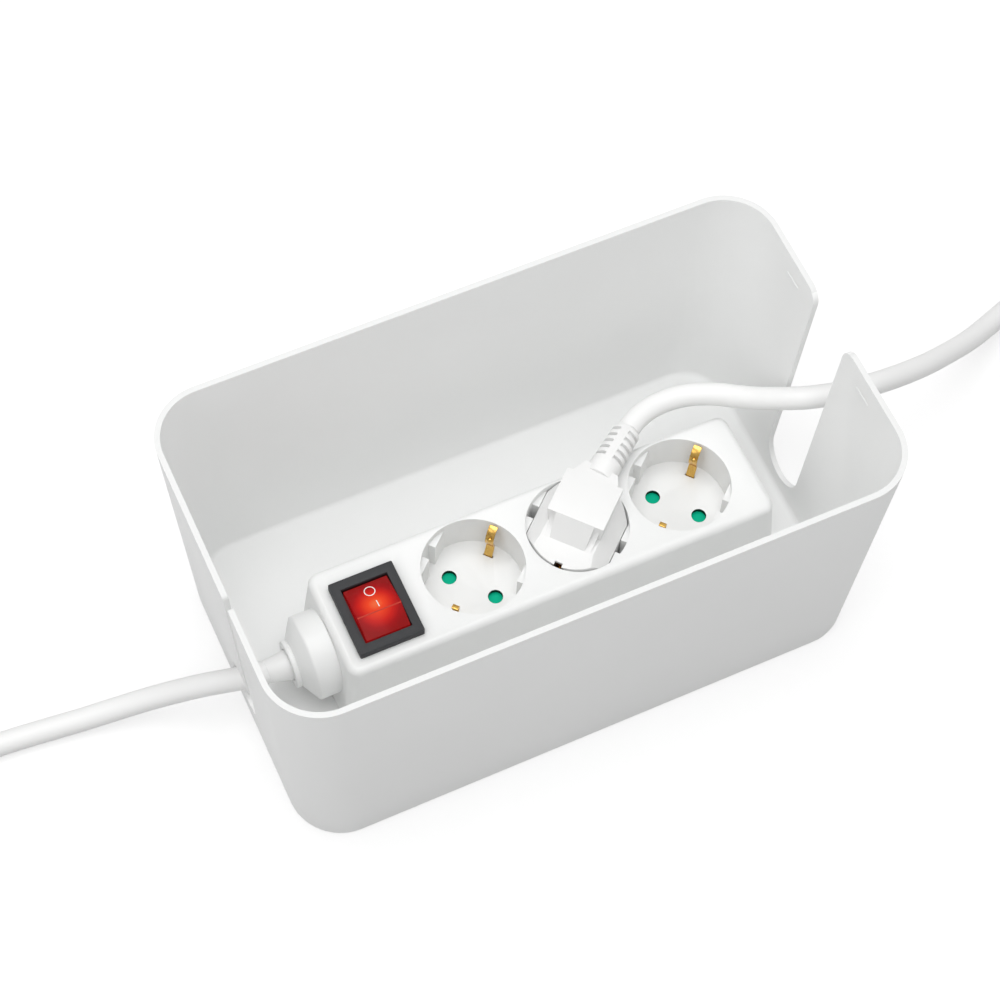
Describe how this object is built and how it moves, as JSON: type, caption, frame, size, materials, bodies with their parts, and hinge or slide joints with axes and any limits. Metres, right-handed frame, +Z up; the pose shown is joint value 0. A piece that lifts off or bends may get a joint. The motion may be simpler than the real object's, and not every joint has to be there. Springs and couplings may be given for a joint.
{
  "type": "cable management box",
  "caption": "Open tapered cable tub holding a switched socket strip with shuttered sockets and one angled plug, its supply cord and device cord led out through the ends.",
  "frame": {"origin": "centre of the tub's underside, on the surface it stands on", "axes": "+X along the tub's length towards the end with the wide slot, +Y to the back, +Z up"},
  "size_m": [0.7457, 0.1462, 0.1175],
  "materials": {
    "tub_white": "satin",
    "housing_white": "smooth, soft gloss",
    "base_white": "satin",
    "steel": "bright zinc",
    "shutter_teal": "smooth",
    "brass": "stamped, bright",
    "bezel_grey": "fine satin",
    "rocker_red": "clear red, lit from inside",
    "lamp": "small glowing lamp",
    "plug_white": "smooth, soft gloss",
    "relief_white": "soft, matte",
    "cord_white": "smooth PVC sheath",
    "wire_brown": "smooth",
    "wire_blue": "smooth",
    "wire_green": "smooth",
    "tie_grey": "hook and loop strap"
  },
  "bodies": {
    "box": {"box_tub": "tub_white", "strip_housing": "housing_white", "strip_base": "base_white", "base_screws": "steel", "shutter_2": "shutter_teal", "earth_clip_1": "brass", "earth_clip_2": "brass", "earth_clip_3": "brass", "earth_bar": "brass", "live_bar": "brass", "neutral_bar": "brass", "switch_bezel": "bezel_grey", "switch_terminals": "brass", "switch_lamp": "lamp", "gland_collar": "housing_white", "gland_ring": "housing_white", "cord_sleeve": "cord_white", "cord_clamp": "base_white", "clamp_screws": "steel", "wire_live": "wire_brown", "wire_neutral": "wire_blue", "wire_earth": "wire_green", "supply_cord": "cord_white", "supply_coil": "cord_white", "supply_tie": "tie_grey", "supply_plug_relief": "relief_white", "supply_plug_body": "plug_white", "supply_plug_pins": "steel", "supply_plug_earth": "brass", "device_cord": "cord_white", "device_coil": "cord_white", "device_tie": "tie_grey", "connector_relief": "relief_white", "connector_body": "plug_white", "connector_contacts": "brass"},
    "rocker": {"switch_rocker": "rocker_red"},
    "shutter_left": {"shutter_1": "shutter_teal"},
    "shutter_right": {"shutter_3": "shutter_teal"},
    "plug": {"plug_body": "plug_white", "plug_pins": "steel", "plug_earth": "brass", "plug_relief": "relief_white"}
  },
  "joints": [
    {"name": "rocker_tip", "type": "hinge", "parent": "box", "child": "rocker", "pos_m": [-0.06075, -0.00325, 0.0381], "axis": [1, 0, 0], "range_deg": [-14, 0]},
    {"name": "left_shutter_turn", "type": "hinge", "parent": "box", "child": "shutter_left", "pos_m": [-0.0211, -0.0013, 0.021], "axis": [0, 0, 1], "range_deg": [0, 40], "stiffness_Nm_per_rad": 0.001},
    {"name": "right_shutter_turn", "type": "hinge", "parent": "box", "child": "shutter_right", "pos_m": [0.0639, -0.0013, 0.021], "axis": [0, 0, 1], "range_deg": [0, 40], "stiffness_Nm_per_rad": 0.001},
    {"name": "plug_pull", "type": "slide", "parent": "box", "child": "plug", "axis": [0, 0, 1], "range_m": [0, 0.045]}
  ]
}
